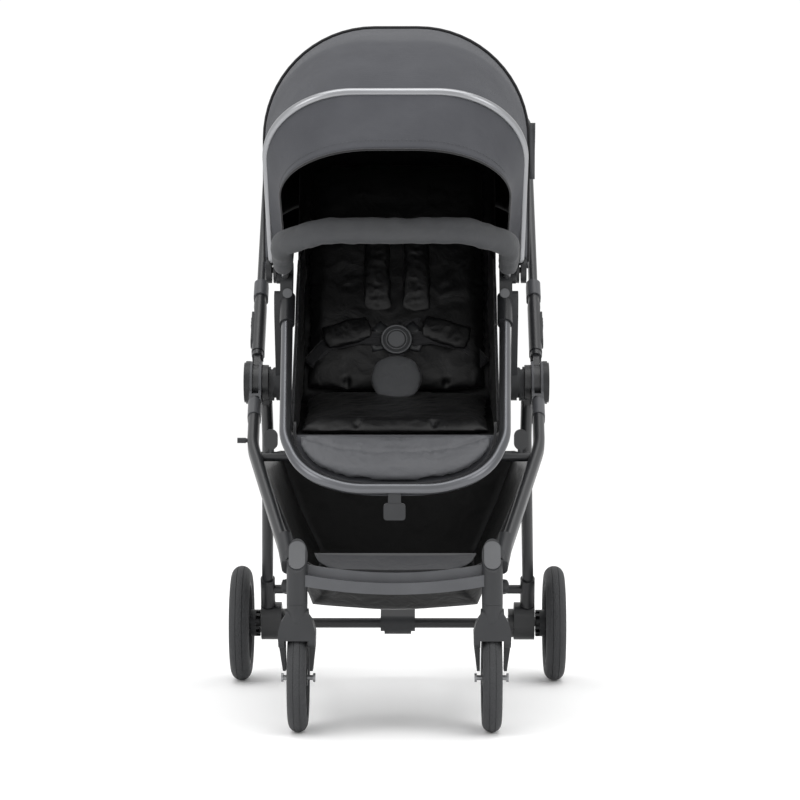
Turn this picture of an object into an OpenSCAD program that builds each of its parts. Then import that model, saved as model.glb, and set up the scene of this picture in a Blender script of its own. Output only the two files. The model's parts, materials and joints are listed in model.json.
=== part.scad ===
/* [Overall] */
// Width over the rear tyres
overall_w = 600; // [500:5:720]
// Distance between the front and rear axles
wheelbase = 590; // [500:5:700]
// Height of the folding hub above the floor
hub_h = 545; // [460:5:650]
// Distance of the folding hub behind the front axle
hub_u = 317; // [280:5:380]
// Height of the push bar above the floor
handle_h = 1040; // [900:5:1200]
// Distance of the push bar behind the front axle
handle_u = 770; // [680:5:900]

/* [Wheels] */
// Rear wheel diameter
rear_d = 206; // [180:2:240]
// Rear tyre width
rear_w = 36; // [28:1:44]
// Front wheel diameter
front_d = 172; // [150:2:200]
// Front tyre width
front_w = 31; // [24:1:36]
// Distance between the front wheels' centres
front_track = 306; // [260:2:350]
// Distance of the front axle behind the swivel axis
trail = 40; // [32:1:50]

/* [Frame] */
// Width of the oval frame tubes
tube_w = 19; // [16:1:22]
// Depth of the oval frame tubes
tube_d = 30; // [24:1:34]
// Rear leg tube diameter
rear_leg_d = 20; // [16:1:24]
// Length of push bar tube that slides in
telescope = 100; // [60:5:120]

/* [Seat] */
// Seat ring tube diameter
ring_d = 19; // [16:1:22]
// Seat ring length from socket to foot end
ring_len = 439; // [380:1:500]
// Height of the seat sockets above the hub
socket_up = 145; // [120:1:170]
// Slope of the seat ring below level
ring_slope = 43; // [35:1:50]
// Bumper bar cover height
bumper_h = 42; // [32:1:50]

/* [Canopy] */
// Canopy outer radius about its hinge
canopy_r = 412; // [360:2:430]
// Canopy corner rounding seen from in front
canopy_corner = 150; // [100:5:170]
// Canopy fabric thickness
canopy_t = 3; // [2:0.5:5]

/* [Hidden] */
$fn = 48;
frame_color = "#3a3b3e";
plastic_color = "#2a2b2d";
metal_color = "#77797d";
fabric_color = "#55575c";
dark_color = "#1c1d1f";

grip_r = 16;
front_r = front_d / 2;
rear_r = rear_d / 2;
yo = (handle_u + grip_r - front_r) / 2;
frame_x = overall_w / 2 - 62;
rear_x = (overall_w - rear_w) / 2;
front_x = front_track / 2;
fa = [-yo, front_r];
ra = [wheelbase - yo, rear_r];
post_y = -yo - trail;
hub = [hub_u - yo, hub_h];
bar = [handle_u - yo, handle_h];
post_top = front_r + 184;
leg_foot = [post_y + 9, post_top + 2];
leg_u = (leg_foot - hub) / norm(leg_foot - hub);
leg_bend = hub + leg_u * 0.38 * norm(leg_foot - hub);
hand_u = (bar - hub) / norm(bar - hub);
hand_len = norm(bar - hub);
rear_u = (ra - hub) / norm(ra - hub);
rear_len = norm(ra - hub);
rail_a = [post_y + 46, post_top - 40];
rail_len = norm(rail_a - hub);
rail_b = hub + rear_u * rail_len;
rail_x = 173;
rail_eye = 30;
rail_gap = 4;
basket_gap = 35;
rail_half = asin(norm(rail_b - rail_a) / 2 / rail_len);
rail_fold = 2 * rail_len * sin(rail_half - 17);
socket = hub + [-67, socket_up];
pivot = hub + [-42, socket_up + 45];
ring_u = [-cos(ring_slope), -sin(ring_slope)];
ring_top_x = frame_x - 57;
ring_half = frame_x - 64;
foot_round = 151;
ring_bend_l = ring_len - foot_round + foot_round * tan(15);
foot_end = socket + ring_u * ring_len;
crease = hub + [-17, -30];
seat_edge = socket + ring_u * 0.667 * ring_len + [8, -26];
back_top = hub + [163, 455];
back_u = (back_top - crease) / norm(back_top - crease);
pan_u = (seat_edge - crease) / norm(seat_edge - crease);
inner_x = ring_half - 4;
canopy_x = frame_x - 17;
pan_m = rot2(pan_u, -90);
back_n = rot2(back_u, 90);
ring_n = rot2(ring_u, -90);
buckle_c = crease + back_u * 98 + back_n * 34;
cog_r = 24;
leg_seat = 22.5;

function rot2(v, a) = [v[0] * cos(a) - v[1] * sin(a), v[0] * sin(a) + v[1] * cos(a)];
function pt(x, q) = [x, q[0], q[1]];
function unit(v) = v / norm(v);
function turn(a, b) = acos(max(-1, min(1, unit(a) * unit(b))));
function trim(p, i, r) = (i == 0 || i == len(p) - 1) ? 0 : r * tan(turn(p[i] - p[i-1], p[i+1] - p[i]) / 2);
function cap_edge(p, q, r1, r2, s) =
    let(d = unit(q - p), n = [-d[1], d[0]], b = asin((r1 - r2) / norm(q - p)))
    d * sin(b) + n * s * cos(b);

module both() {
    children();
    mirror([1, 0, 0]) children();
}
module side(x0, x1) {
    multmatrix([[0, 0, 1, x0], [1, 0, 0, 0], [0, 1, 0, 0], [0, 0, 0, 1]]) linear_extrude(x1 - x0) children();
}
module rod_x(x0, x1, q, r) {
    translate([x0, q[0], q[1]]) rotate([0, 90, 0]) cylinder(r = r, h = x1 - x0);
}
module link(p, q, r1, r2) {
    k = 0.998;
    translate(p) circle(r1);
    translate(q) circle(r2);
    polygon([
        p + cap_edge(p, q, r1, r2, 1) * r1 * k, q + cap_edge(p, q, r1, r2, 1) * r2 * k,
        q + cap_edge(p, q, r1, r2, -1) * r2 * k, p + cap_edge(p, q, r1, r2, -1) * r1 * k
    ]);
}
module along(a, b) {
    d = unit(b - a);
    translate(a) rotate([0, acos(d[2]), atan2(d[1], d[0])]) children();
}
module bent_tube(p, r, bend) {
    for (i = [0 : len(p) - 2]) {
        d = unit(p[i+1] - p[i]);
        a = p[i] + d * trim(p, i, bend);
        b = p[i+1] - d * trim(p, i + 1, bend);
        along(a, b) cylinder(r = r, h = norm(b - a));
    }
    for (i = [1 : len(p) - 2]) {
        d1 = unit(p[i] - p[i-1]);
        d2 = unit(p[i+1] - p[i]);
        t = turn(d1, d2);
        n = unit(cross(d1, d2));
        c = p[i] + unit(d2 - d1) * bend / cos(t / 2);
        x = unit(p[i] - d1 * bend * tan(t / 2) - c);
        y = cross(n, x);
        multmatrix([[x[0], y[0], n[0], c[0]], [x[1], y[1], n[1], c[1]], [x[2], y[2], n[2], c[2]], [0, 0, 0, 1]])
            rotate([0, 0, -0.1]) rotate_extrude(angle = t + 0.2) translate([bend, 0]) circle(r + 0.03);
    }
}
// An oval section with its long side along x
module oval(w, d) {
    translate([(d - w) / 2, 0]) circle(w / 2);
    translate([-(d - w) / 2, 0]) circle(w / 2);
    square([d - w, w * 0.998], center = true);
}
// An oval tube between two points; the long side stays in the side plane
module oval_tube(a, b, w, d) {
    z = unit(b - a);
    y = unit(cross(z, [0, -z[2], z[1]]));
    x = cross(y, z);
    multmatrix([[x[0], y[0], z[0], a[0]], [x[1], y[1], z[1], a[1]], [x[2], y[2], z[2], a[2]], [0, 0, 0, 1]])
        linear_extrude(norm(b - a)) oval(w, d);
}
module offset_square(s, r) {
    square([s[0] - 2 * r, s[1]], center = true);
    square([s[0], s[1] - 2 * r], center = true);
    for (x = [-1, 1], y = [-1, 1]) translate([x * (s[0] / 2 - r), y * (s[1] / 2 - r)]) circle(r);
}

// Front frame
leg_low_x = front_x + 12;
module front_legs() {
    p0 = pt(frame_x, hub + leg_u * 52);
    p1 = pt(frame_x - 2, leg_bend);
    p2 = pt(leg_low_x, leg_foot + leg_u * 6);
    bend = 160;
    d1 = unit(p1 - p0);
    d2 = unit(p2 - p1);
    t = turn(d1, d2);
    c = p1 + unit(d2 - d1) * bend / cos(t / 2);
    n = unit(cross(d1, d2));
    x = unit(p1 - d1 * bend * tan(t / 2) - c);
    y = cross(n, x);
    color(frame_color) both() difference() {
        union() {
            oval_tube(p0, p1 - d1 * bend * tan(t / 2), tube_w, tube_d);
            multmatrix([[x[0], y[0], n[0], c[0]], [x[1], y[1], n[1], c[1]], [x[2], y[2], n[2], c[2]], [0, 0, 0, 1]])
                rotate([0, 0, -0.1]) rotate_extrude(angle = t + 0.2) translate([bend, 0]) rotate(90)
                    oval(tube_w + 0.06, tube_d + 0.06);
            oval_tube(p1 + d2 * bend * tan(t / 2), p2, tube_w, tube_d);
        }
        translate([front_x, post_y, 0]) cylinder(r = 16.5, h = 900);
    }
}
module front_posts() {
    color(plastic_color) both() difference() {
        union() {
            translate([front_x, post_y, front_r + 121]) cylinder(r = 16.5, h = 102);
            // Sleeve that takes the leg tube
            oval_tube(pt(leg_low_x + 10, leg_foot - leg_u * 52), pt(leg_low_x, leg_foot + leg_u * 8), tube_w + 6, tube_d + 6);
            // Rear gusset with the rail pivot
            side(front_x + 3, front_x + 11) link([post_y + 10, post_top - 36], rail_a, 22, 12);
        }
        oval_tube(pt(leg_low_x + 24, leg_foot - leg_u * 140), pt(leg_low_x, leg_foot + leg_u * 6), tube_w - 3, tube_d - 3);
        // Sloped top that faces forward
        translate([front_x, post_y - 16.5, post_top - 12]) rotate([57, 0, 0]) translate([-60, -60, 0]) cube([120, 160, 80]);
        translate([front_x, post_y, front_r + 120]) cylinder(r = 6.05, h = 30);
        rod_x(front_x - 5, front_x + 40, rail_a, 4.05);
    }
}
module post_caps() {
    color(metal_color) both() translate([front_x, post_y - 16.5, post_top - 12]) rotate([57, 0, 0])
        translate([0, 30.3, 0]) linear_extrude(2.2) rotate(90) oval(26, 49);
}
module front_crossmember() {
    xe = front_x - 8;
    zc = front_r + 921;
    color(plastic_color) difference() {
        union() {
            translate([0, post_y - 10, zc]) rotate([-90, 0, 0]) arc_band(775, 18, 16, xe);
            translate([0, post_y + 5, zc + 2]) rotate([-90, 0, 0]) arc_band(763, 20, 6, xe);
        }
        both() translate([front_x, post_y, 0]) cylinder(r = 16.5, h = 900);
    }
}
// A curved bar cut from a ring of the given radius
module arc_band(r, tall, thick, half_x) {
    linear_extrude(thick) intersection() {
        difference() {
            circle(r + tall / 2, $fn = 96);
            circle(r - tall / 2, $fn = 96);
        }
        translate([-half_x, r - 80]) square([2 * half_x, 160]);
    }
}
module hub_housings() {
    h = atan2(hand_u[1], hand_u[0]);
    color(plastic_color) both() difference() {
        union() {
            side(frame_x - 10, frame_x + 10) {
                circle_at(hub, 36);
                link(hub + leg_u * 22, hub + leg_u * 60, 12, 11);
            }
            oval_tube(pt(frame_x, hub + leg_u * 58), pt(frame_x - 0.6, hub + leg_u * 96), tube_w + 3, tube_d + 3);
        }
        // Room for the handle knuckle between the two cheeks, all the way round its fold
        side(frame_x - 5.6, frame_x + 5.6) {
            circle_at(hub, 31);
            for (a = [0 : 17 : 136]) translate(hub) rotate(h + a - 90) translate([-15, 0]) square([30, 60]);
        }
        rod_x(frame_x - 20, frame_x + 20, hub, 8.02);
        oval_tube(pt(frame_x, hub + leg_u * 52), pt(frame_x - 2, leg_bend), tube_w, tube_d);
    }
}
module circle_at(q, r) {
    translate(q) circle(r);
}
module hub_covers() {
    color(dark_color) both() {
        rod_x(frame_x + 10, frame_x + 20, hub, 34);
        rod_x(frame_x + 10, frame_x + 17, hub, 36.5);
    }
}
module hub_bolts() {
    color(metal_color) both() {
        rod_x(frame_x - 24.5, frame_x + 10, hub, 8);
    }
}
module seat_receivers() {
    color(plastic_color) both() difference() {
        side(frame_x - 30, frame_x - 21.5) link(hub + [0, 6], hub + [0, -10], 21, 21);
        side(frame_x - 28.6, frame_x - 24.5) {
            circle_at(hub, 13.1);
            translate(hub + [-13.1, 0]) square([26.2, 60]);
        }
        side(frame_x - 31, frame_x - 28) {
            circle_at(hub, 9.1);
            translate(hub + [-9.1, 0]) square([18.2, 60]);
        }
        rod_x(frame_x - 24.6, frame_x - 20, hub, 8.02);
    }
}
module accessory_peg() {
    q = hub + leg_u * 0.34 * norm(leg_foot - hub);
    x = -frame_x - tube_w / 2;
    color(dark_color) {
        rod_x(x - 15, x - 1, q, 4.5);
        rod_x(x - 1, -frame_x + 6, q, 3.5);
    }
}
basket_bar_y = hub[0] - 150;
module basket_bar() {
    q = leg_point(basket_bar_y);
    x = leg_x(q) - 3;
    color(frame_color) rod_x(-x, x, q, 8);
    // Oval stops that the folded seat rests on
    color(plastic_color) both() {
        translate(pt(frame_x - 33, q + [0, 4])) cylinder(r = 5, h = 20);
        translate(pt(frame_x - 33, q + [5, 28])) rotate([90, 0, 0]) linear_extrude(10) rotate(90) oval(22, 34);
    }
}
function leg_point(y) = hub + leg_u * (y - hub[0]) / leg_u[0];
function leg_x(q) = let(t = norm(q - hub) / norm(leg_foot - hub))
    t < 0.38 ? frame_x - 2 : frame_x - 2 - (frame_x - 2 - leg_low_x) * (t - 0.38) / 0.62;
module basket() {
    color(fabric_color) difference() {
        basket_body(0);
        basket_body(3);
    }
}
// A fabric tub; the inner copy, made with a wall thickness, is open at the top
module basket_body(t) {
    bx = rail_x - basket_gap;
    tx = frame_x - 33;
    q = leg_point(basket_bar_y);
    y0 = post_y + 11;
    y1 = hub[0] + 156;
    zf = front_r + 109;
    up = t > 0 ? 300 : 0;
    intersection() {
        multmatrix([[1, 0, 0, 0], [0, 0, 1, y0 + t], [0, 1, 0, 0], [0, 0, 0, 1]]) linear_extrude(y1 - y0 - 2 * t)
            polygon([
                [-bx + t, zf], [bx - t, zf], [tx - t, q[1]], [tx - t, q[1] + 300], [-tx + t, q[1] + 300],
                [-tx + t, q[1]]
            ]);
        side(-400, 400) polygon([
            [y0 + t, zf + 34 + t], [y0 + t, zf + 60 + up], [y0 + 60, zf + 74 + up], q + [-9, -8 + up],
            q + [9, -8 + up], [y1 - t, q[1] - 8 + up], [y1 - t, zf + 37 + t], [y0 + 60, zf + t]
        ]);
        linear_extrude(900) polygon([
            [-124 + t, y0], [124 - t, y0], [bx - t, y0 + 40], [tx - t, y0 + 150], [tx - t, y1], [-tx + t, y1],
            [-tx + t, y0 + 150], [-bx + t, y0 + 40]
        ]);
    }
}

// Casters
fork_edge = [[17.2, 20], [18.5, -8], [25, -18], [29.4, -34], [28.6, -58], [23.5, -99]];
module caster_fork() {
    top = [post_y, front_r + 112];
    color(plastic_color) difference() {
        union() {
            translate([0, post_y, front_r + 92]) cylinder(r = 16.4, h = 28.7);
            translate([0, post_y, front_r + 92]) cylinder(r = 6, h = 56);
            intersection() {
                side(-30, 30) {
                    link(top + [2, -14], fa, 16, 14);
                    link(top + [2, -14], top + [-10, -46], 16, 12);
                    circle_at(fa, 14);
                }
                // Shoulders that narrow down into the two arms, as seen from the front
                translate([0, 300, top[1]]) rotate([90, 0, 0]) linear_extrude(900) polygon([
                    for (s = [1, -1], q = s > 0 ? fork_edge : [for (i = [5 : -1 : 0]) fork_edge[i]]) [s * q[0], q[1]]
                ]);
            }
        }
        // Wheel well
        side(-19, 19) circle_at(fa, front_r + 4);
        rod_x(-60, 60, fa, 4.02);
    }
}
module front_axle() {
    color(metal_color) {
        rod_x(-25, 25, fa, 4);
        rod_x(-27, -23.5, fa, 7);
        rod_x(23.5, 27, fa, 7);
    }
}
module tyre(q, r, w) {
    bead = r * 0.74;
    color(dark_color) translate([0, q[0], q[1]]) rotate([0, 90, 0]) difference() {
        rotate_extrude() {
            translate([r - w / 2, 0]) intersection() {
                circle(w / 2);
                translate([bead - r + w / 2, -w / 2]) square([w, w]);
            }
            translate([bead, -w / 2 + 2]) square([r - w / 2 - bead, w - 4]);
        }
        for (s = [-1, 1]) rotate_extrude() translate([r - 1.6, s * w * 0.15]) circle(0.9, $fn = 16);
    }
}
module rim(q, r, w, bore) {
    bead = r * 0.74;
    color(metal_color) translate([0, q[0], q[1]]) rotate([0, 90, 0]) difference() {
        union() {
            rotate_extrude() translate([bead - 7, -w / 2 + 3]) square([7, w - 6]);
            translate([0, 0, -w / 2 + 1]) cylinder(r = 13, h = w - 2);
            for (a = [0 : 72 : 359]) rotate(a) translate([9, -6, -w / 4]) cube([bead - 12, 12, w / 2]);
        }
        cylinder(r = bore, h = 3 * w, center = true);
    }
}
module front_tyre() {
    tyre(fa, front_r, front_w);
}
module front_rim() {
    rim(fa, front_r, front_w, 4.05);
}
module left_front() {
    translate([-front_x, 0, 0]) children();
}
module right_front() {
    translate([front_x, 0, 0]) children();
}
module caster_fork_left() {
    left_front() caster_fork();
}
module caster_fork_right() {
    right_front() caster_fork();
}
module front_axle_left() {
    left_front() front_axle();
}
module front_axle_right() {
    right_front() front_axle();
}
module front_tyre_left() {
    left_front() front_tyre();
}
module front_tyre_right() {
    right_front() front_tyre();
}
module front_rim_left() {
    left_front() front_rim();
}
module front_rim_right() {
    right_front() front_rim();
}

// Rear frame
leg_top_x = frame_x - 16;
leg_end_x = frame_x - 3;
module rear_legs() {
    color(frame_color) both() difference() {
        union() {
            side(leg_top_x - 5, leg_top_x + 5.5) {
                circle_at(hub, 30);
                link(hub, hub + rear_u * 44, 14, 9);
            }
            bent_tube([
                pt(leg_top_x, hub + rear_u * 40), pt(leg_top_x, hub + rear_u * 110), pt(leg_end_x, ra - rear_u * leg_seat)
            ], rear_leg_d / 2, 300);
            // Rail bracket and stub
            along(pt(leg_end_x - 3, rail_b - rear_u * 24), pt(leg_end_x - 2, rail_b + rear_u * 34))
                cylinder(r = 13, h = norm(rear_u * 58));
            rod_x(rail_x + 8.4, leg_end_x, rail_b, 8);
            rod_x(rail_x - 10, leg_end_x, rail_b, 4);
        }
        rod_x(leg_top_x - 20, leg_top_x + 20, hub, 8.08);
    }
}
module rear_axle_tube() {
    color(frame_color) rod_x(-leg_end_x + 24, leg_end_x - 24, ra, 9);
}
housing_x0 = leg_end_x - 26;
housing_x1 = leg_end_x + 11;
module axle_housings() {
    color(plastic_color) both() difference() {
        union() {
            side(housing_x0, housing_x1) {
                link(ra + [0, 0], ra - rear_u * 20, 30, 22);
            }
            rod_x(housing_x0 - 10, housing_x0, ra, 26);
        }
        rod_x(housing_x0 - 20, housing_x0 + 6, ra, 9);
        along(pt(leg_end_x, ra - rear_u * leg_seat), pt(leg_end_x, ra - rear_u * 80)) cylinder(r = rear_leg_d / 2, h = 60);
        rod_x(housing_x0 + 8, housing_x1 + 1, ra, 6.02);
        // Slot for the sliding brake pin
        rod_x(housing_x0 + 10, housing_x1 + 1, ra + [0, 19], 3.05);
        // Parting groove
        translate([0, ra[0], ra[1] - 9]) translate([housing_x0 - 1, -40, -0.8]) cube([2, 80, 1.6]);
    }
    color(metal_color) both() rod_x(housing_x0 + 8, overall_w / 2 - 4, ra, 6);
}
module brake_pedal() {
    q = ra;
    color(plastic_color) difference() {
        union() {
            side(-31, 31) link(q, q + [34, 22], 15, 8);
            side(-24, 24) link(q, q + [0, -6], 15, 14);
        }
        rod_x(-40, 40, q, 9.06);
        side(-14, 14) circle_at(q + [36, 6], 16);
    }
}
module brake_pin(s) {
    color(metal_color) mirror([s < 0 ? 1 : 0, 0, 0]) rod_x(housing_x0 + 14, housing_x1 + 0.4, ra + [0, 19], 3);
}
module brake_pin_left() {
    brake_pin(-1);
}
module brake_pin_right() {
    brake_pin(1);
}
module rear_tyre_left() {
    translate([-rear_x, 0, 0]) tyre(ra, rear_r, rear_w);
}
module rear_tyre_right() {
    translate([rear_x, 0, 0]) tyre(ra, rear_r, rear_w);
}
module rear_rim_left() {
    translate([-rear_x, 0, 0]) rim(ra, rear_r, rear_w, 6.06);
}
module rear_rim_right() {
    translate([rear_x, 0, 0]) rim(ra, rear_r, rear_w, 6.06);
}
module brake_cog() {
    x0 = housing_x1 + 2.4;
    color(dark_color) translate([x0, ra[0], ra[1]]) rotate([0, 90, 0]) difference() {
        union() {
            cylinder(r = cog_r, h = rear_x - rear_w / 2 - x0 + 0.9);
            cylinder(r = 12, h = rear_x - rear_w / 2 - x0 + 1);
        }
        cylinder(r = 6.06, h = 60, center = true);
        // The first slot lines up with the brake pin
        for (a = [0 : 30 : 359]) rotate(a + 180) translate([14.5, -3.6, -1]) cube([20, 7.2, 8]);
    }
}
module brake_cog_left() {
    mirror([1, 0, 0]) brake_cog();
}
module brake_cog_right() {
    brake_cog();
}

// Push handle
collar_t = 206;
module handle_lowers() {
    color(frame_color) both() difference() {
        union() {
            side(frame_x - 5.2, frame_x + 5.2) {
                circle_at(hub, 30);
                link(hub, hub + hand_u * 58, 14, 10);
            }
            oval_tube(pt(frame_x, hub + hand_u * 54), pt(frame_x, hub + hand_u * collar_t), tube_w, tube_d);
            // Wider housing behind the release trigger
            oval_tube(pt(frame_x, hub + hand_u * 64), pt(frame_x, hub + hand_u * 176), tube_w + 3, tube_d + 3);
        }
        rod_x(frame_x - 20, frame_x + 20, hub, 8.08);
        oval_tube(
            pt(frame_x, hub + hand_u * 60), pt(frame_x, hub + hand_u * 300), tube_w - 3.6, tube_d - 3.6
        );
        // Trigger recess
        side(frame_x + tube_w / 2 - 1, frame_x + 30) link(hub + hand_u * 90, hub + hand_u * 158, 11, 11);
    }
}
module handle_collars() {
    color(plastic_color) both() difference() {
        oval_tube(pt(frame_x, hub + hand_u * (collar_t - 14)), pt(frame_x, hub + hand_u * (collar_t + 18)), 25, 36);
        oval_tube(
            pt(frame_x, hub + hand_u * (collar_t - 15)), pt(frame_x, hub + hand_u * (collar_t + 0.02)), tube_w, tube_d
        );
        oval_tube(
            pt(frame_x, hub + hand_u * (collar_t - 15)), pt(frame_x, hub + hand_u * (collar_t + 30)),
            tube_w - 3.6, tube_d - 3.6
        );
    }
}
module handle_bar() {
    c = hub + hand_u * (hand_len - 60);
    color(frame_color) {
        both() {
            oval_tube(pt(frame_x, hub + hand_u * (64 + telescope)), pt(frame_x, c), tube_w - 3.8, tube_d - 3.8);
            oval_tube(pt(frame_x, c - hand_u * 44), pt(frame_x, c + hand_u * 2), tube_w, tube_d);
        }
        bent_tube([
            pt(-frame_x, c - hand_u * 8), pt(-frame_x, bar), pt(frame_x, bar), pt(frame_x, c - hand_u * 8)
        ], 9.2, 50);
    }
}
module handle_grip() {
    gx = frame_x - 56;
    color(dark_color) difference() {
        union() {
            rod_x(-gx, gx, bar, grip_r);
            both() rod_x(gx - 4, gx + 3, bar, grip_r - 2);
        }
        rod_x(-gx - 20, gx + 20, bar, 9.2);
    }
}
module fold_trigger() {
    x1 = frame_x + tube_w / 2 + 4;
    color(plastic_color) {
        side(frame_x + tube_w / 2 - 0.7, x1) link(hub + hand_u * 91, hub + hand_u * 149, 10.6, 10.6);
        // Finger ridges
        for (t = [124, 132, 140]) translate(pt(x1 - 0.2, hub + hand_u * t)) rotate([atan2(hand_u[1], hand_u[0]), 0, 0])
            translate([0, -1.5, -8]) cube([1.2, 3, 16]);
    }
}
module fold_trigger_left() {
    mirror([1, 0, 0]) fold_trigger();
}
module fold_trigger_right() {
    fold_trigger();
}

// Side rails between the post and the rear leg
module side_rails_outer() {
    d = unit(rail_b - rail_a);
    // When folded, the mouth stops short of the inner rail's eye plate
    e = rail_a + d * (rail_fold - rail_eye - rail_gap);
    color(frame_color) both() {
        difference() {
            union() {
                oval_tube(pt(rail_x, rail_a + d * 16), pt(rail_x, e), 16, 24);
                side(rail_x - 5, rail_x + 5) link(rail_a, rail_a + d * 22, 11, 9);
                rod_x(front_x - 2, rail_x, rail_a, 4);
            }
            oval_tube(pt(rail_x, rail_a + d * 26), pt(rail_x, e + d * 4), 12.8, 20.8);
        }
        color(plastic_color) rod_x(front_x - 3, front_x + 2.7, rail_a, 7);
    }
}
module side_rails_inner() {
    d = unit(rail_a - rail_b);
    // When folded, the tip stops short of the outer rail's blind end
    e = rail_b + d * (rail_fold - 26 - rail_gap);
    color(metal_color) both() difference() {
        union() {
            oval_tube(pt(rail_x, rail_b + d * 14), pt(rail_x, e), 12.6, 20.6);
            side(rail_x - 6.3, rail_x + 6.3) link(rail_b, rail_b + d * (rail_eye - 10), 12, 10);
        }
        rod_x(rail_x - 20, rail_x + 20, rail_b, 4.06);
    }
}

// Seat unit
module seat_adapters() {
    x0 = frame_x - 28.4;
    color(plastic_color) both() {
        side(x0, frame_x - 24.6) {
            circle_at(hub, 13);
            translate(hub + [-13, 0]) square([26, 16]);
        }
        side(frame_x - 30.4, x0 + 0.2) {
            circle_at(hub, 9);
            translate(hub + [-9, 0]) square([18, 20]);
        }
        rod_x(frame_x - 34, frame_x - 30.2, hub, 26);
        rod_x(frame_x - 46, frame_x - 33, hub, 7);
        rod_x(frame_x - 48.2, frame_x - 44.8, hub, 12);
    }
}
module seat_brackets() {
    color(plastic_color) both() difference() {
        side(frame_x - 44.6, frame_x - 34.2) {
            circle_at(hub, 30.5);
            link(hub, socket + [8, -26], 20, 15);
            link(socket + [8, -26], socket + [4, -4], 15, 14);
        }
        rod_x(frame_x - 60, frame_x - 30, hub, 7.06);
    }
}
module seat_sockets() {
    x0 = frame_x - 65;
    color(dark_color) both() difference() {
        union() {
            side(x0, frame_x - 44.6) {
                link(socket + [0, -14], socket + [0, 24], 15, 15);
                link(socket, pivot, 14, 13);
            }
            side(frame_x - 44.8, frame_x - 38) link(socket + [10, 32], pivot, 10, 13);
            along(ring_pt(ring_top_x, 0), ring_pt(ring_side_x(66), 66)) cylinder(r = 12.5, h = 66);
        }
        // Bumper arm mouth, ring bore, button bore and hinge bore
        along(pt(bump_x, bump_s), pt(bump_x, bump_m)) cylinder(r = 6.06, h = 80);
        along(ring_pt(ring_side_x(22), 22), ring_pt(ring_side_x(90), 90)) cylinder(r = ring_d / 2, h = 68);
        along(pt(ring_top_x, socket + [-5, 6]), pt(ring_top_x, socket + [-40, 6])) cylinder(r = 8.1, h = 40);
        rod_x(frame_x - 50, frame_x, pivot, 5.06);
    }
}
function ring_side_x(l) = ring_top_x - (l - 22) * (ring_top_x - ring_half) / (ring_bend_l - 22);
bump_x = ring_top_x + 4;
bump_s = socket + [4, 30];
bump_m = socket + [-200, 104];
function ring_pt(x, l) = pt(x, socket + ring_u * l);
module seat_ring() {
    l0 = ring_len - foot_round;
    a = ring_half;
    color(metal_color) bent_tube([
        ring_pt(-ring_top_x, 22), ring_pt(-a, ring_bend_l),
        ring_pt(-a * 0.83, l0 + foot_round * 0.8), ring_pt(-a * 0.4, ring_len),
        ring_pt(a * 0.4, ring_len), ring_pt(a * 0.83, l0 + foot_round * 0.8),
        ring_pt(a, ring_bend_l), ring_pt(ring_top_x, 22)
    ], ring_d / 2, 0.72 * min(a, foot_round));
}
module bumper_path(r, bend, t0) {
    s = bump_s + (bump_m - bump_s) * t0;
    k = bump_s + (bump_m - bump_s) * 0.74;
    bent_tube([
        pt(-bump_x, s), pt(-bump_x, k), pt(-bump_x * 0.62, bump_m), pt(bump_x * 0.62, bump_m), pt(bump_x, k),
        pt(bump_x, s)
    ], r, bend);
}
module bumper_bar() {
    color(metal_color) bumper_path(6, 40, 0);
}
module bumper_cover() {
    color(fabric_color) difference() {
        bumper_path(bumper_h / 2 - 4, 40, 0.3);
        bumper_path(6.06, 40, 0.1);
    }
}
module bumper_buttons() {
    color(metal_color) both() {
        along(pt(ring_top_x, socket + [-10, 6]), pt(ring_top_x, socket + [-24, 6])) cylinder(r = 8, h = 10);
    }
}

// Soft seat
module seat_shell() {
    t = 8;
    n = back_n;
    m = pan_m;
    c = crease - (n + m) * t / (1 + n * m);
    color(fabric_color) {
        side(-inner_x, inner_x) polygon([crease, back_top, back_top - n * t, c, seat_edge - m * t, seat_edge]);
        both() side(inner_x - 3, inner_x + 3) polygon([
            c + [2, 0], seat_edge - m * t, seat_edge + [0, 4], socket + ring_u * 0.55 * ring_len + ring_n * -14,
            socket + ring_u * 70 + ring_n * -14, socket + [-14, -26], socket + [12, -10], socket + [16, 20],
            crease + back_u * 320, crease + back_u * 320 - n * t
        ]);
    }
}
module seat_pad() {
    color(fabric_color) seat_pad_body();
}
module seat_pad_body() {
    n = back_n;
    m = pan_m;
    side(-inner_x + 12, inner_x - 12) polygon([
        crease, crease + back_u * 440, crease + back_u * 440 + n * 13, crease + back_u * 434 + n * 15,
        crease + (n + m) * 15 / (1 + n * m), seat_edge - pan_u * 6 + m * 15, seat_edge + m * 12, seat_edge
    ]);
}
module foot_pad() {
    color(fabric_color) multmatrix([
        [1, 0, 0, 0], [0, ring_u[0], ring_n[0], socket[0]], [0, ring_u[1], ring_n[1], socket[1]], [0, 0, 0, 1]
    ]) {
        // Thin sling that meets the underside of the ring, and the padded panel on it
        translate([0, ring_len - foot_round, -12.5]) linear_extrude(3) foot_outline(ring_half, foot_round + 2, 0);
        translate([0, ring_len - foot_round, -9.6]) linear_extrude(16) foot_outline(ring_half - 22, foot_round - 24, 30);
    }
}
module foot_outline(a, b, y0) {
    intersection() {
        polygon([
            for (t = [0 : 10 : 180]) [a * sign(cos(t)) * pow(abs(cos(t)), 0.741), b * pow(abs(sin(t)), 0.741)]
        ]);
        translate([-a, y0]) square([2 * a, b]);
    }
}
module crotch_pad() {
    color(fabric_color) difference() {
        along_plate(crease + pan_u * 62 + pan_m * 15, buckle_c + [-14, -34], 84, 14, -1);
        seat_pad_body();
    }
}
module along_plate(a, b, w, t, s) {
    d = unit(b - a);
    n = rot2(d, 90) * s;
    side(-w / 2, w / 2) polygon([a, b, b + n * t, a + n * t]);
}
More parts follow.
